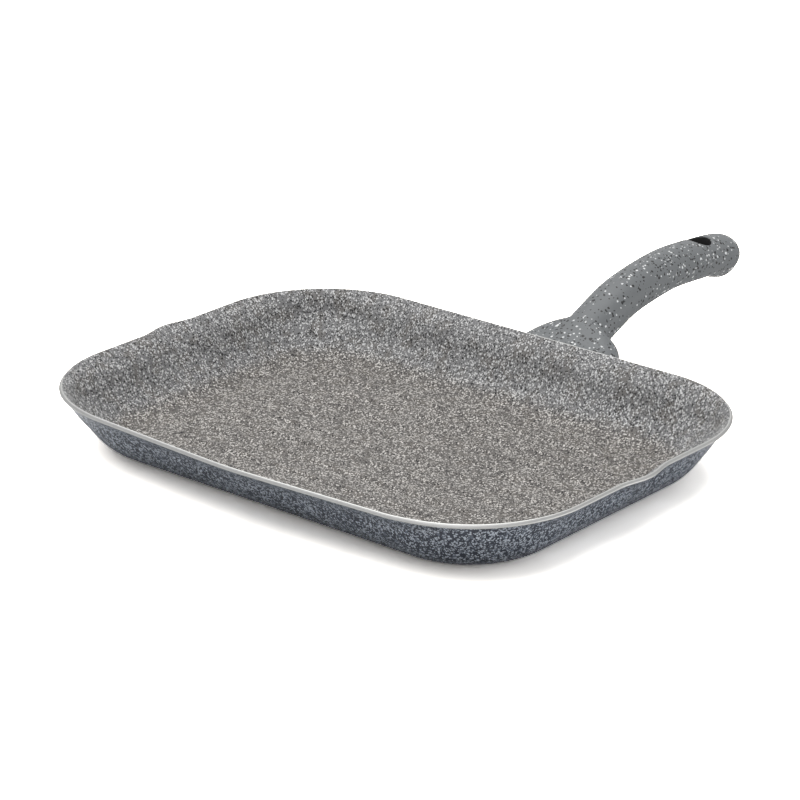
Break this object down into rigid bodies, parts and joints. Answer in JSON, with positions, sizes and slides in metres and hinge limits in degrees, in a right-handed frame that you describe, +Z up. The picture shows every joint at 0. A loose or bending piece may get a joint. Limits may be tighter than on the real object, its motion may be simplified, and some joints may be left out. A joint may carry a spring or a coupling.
{
  "type": "grill pan",
  "caption": "Shallow rectangular grill pan with a ribbed floor, flared lip, pouring points and one fixed arched handle with a hang hole.",
  "frame": {"origin": "centre of the pan's flat base, on its underside", "axes": "+X along the pan's long sides, +Y towards the handle, +Z up out of the pan"},
  "size_m": [0.3672, 0.4781, 0.0589],
  "materials": {
    "coated_aluminium": "pressed sheet, matt stone-effect coat inside, dark blue-grey speckled enamel outside, bare cut rim",
    "handle_lacquer": "heat-proof black moulding with satin grey lacquer and scattered black and white flecks",
    "bracket_steel": "plain stamped and plated",
    "stud_aluminium": "bare, headed over",
    "screw_steel": "bright plated"
  },
  "bodies": {
    "root": {"pan_body": "coated_aluminium", "handle": "handle_lacquer", "handle_bracket": "bracket_steel", "weld_stud_left": "stud_aluminium", "weld_stud_right": "stud_aluminium", "handle_screw": "screw_steel", "handle_washer": "screw_steel", "tongue_nut": "screw_steel"}
  },
  "joints": []
}
